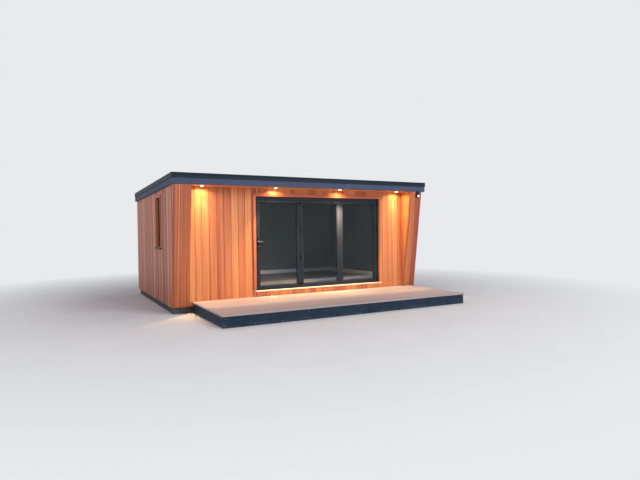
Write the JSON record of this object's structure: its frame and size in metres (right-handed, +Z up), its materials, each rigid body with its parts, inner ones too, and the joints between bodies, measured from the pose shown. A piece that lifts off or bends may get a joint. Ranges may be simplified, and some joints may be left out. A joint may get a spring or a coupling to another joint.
{
  "type": "garden office pod",
  "caption": "Flat-roofed timber garden office with tapered side cheeks, folding glass doors, slot side window, downlit overhang and a raised front deck.",
  "frame": {"origin": "under the middle of the base slab, on the ground that the base and the deck stand on", "axes": "+X to the right along the front as seen from outside, +Y into the building, +Z up"},
  "size_m": [5.547, 5.626, 2.5],
  "materials": {
    "cedar": "oiled vertical boards, varied tones",
    "concrete": "rough, in shade",
    "floor_panel": "sheet timber over insulation",
    "floor_laminate": "grey laminate, satin",
    "painted_lining": "matt white paint",
    "skirting_gloss": "white satin paint",
    "downlight_metal": "brushed",
    "downlight_lens": "frosted, warm light",
    "roof_panel": "sheet timber over insulation",
    "roof_rubber": "matt sheet",
    "fascia_board": "blue-grey, satin",
    "roof_edge_metal": "near-black, satin",
    "door_aluminium": "anthracite powder coat",
    "glazing": "clear double glazing",
    "handle_steel": "brushed",
    "pale_sill": "pale, matt",
    "deck_timber": "pale buff grooved boards",
    "joist_timber": "treated, rough",
    "deck_edge_board": "dark slate, satin",
    "security_black": "satin black",
    "gutter_black": "black"
  },
  "bodies": {
    "root": {"back_cladding": "cedar", "back_wall": "painted_lining", "base_slab": "concrete", "ceiling": "painted_lining", "deck_boards": "deck_timber", "deck_fascia_front": "deck_edge_board", "deck_fascia_sides": "deck_edge_board", "deck_joists": "joist_timber", "door_frame": "door_aluminium", "door_glass": "glazing", "door_handle": "handle_steel", "door_hinges": "door_aluminium", "door_leaf_1": "door_aluminium", "door_leaf_2": "door_aluminium", "door_leaf_3": "door_aluminium", "door_sill": "pale_sill", "door_trim": "cedar", "downlight_lenses": "downlight_lens", "downlight_rims": "downlight_metal", "downpipe": "gutter_black", "fascia_back": "fascia_board", "fascia_front": "fascia_board", "fascia_sides": "fascia_board", "floor_cassette": "floor_panel", "floor_finish": "floor_laminate", "front_cladding": "cedar", "front_wall_head": "painted_lining", "front_wall_left": "painted_lining", "front_wall_right": "painted_lining", "gutter": "gutter_black", "left_cheek": "cedar", "left_cladding": "cedar", "left_wall": "painted_lining", "right_cheek": "cedar", "right_cladding": "cedar", "right_wall": "painted_lining", "roof_band_front": "roof_edge_metal", "roof_band_sides": "roof_edge_metal", "roof_cassette": "roof_panel", "roof_membrane": "roof_rubber", "security_light": "security_black", "skirting": "skirting_gloss", "soffit": "cedar", "window_frame": "door_aluminium", "window_glass": "glazing", "window_sill": "roof_edge_metal", "window_trim": "cedar"}
  },
  "joints": []
}
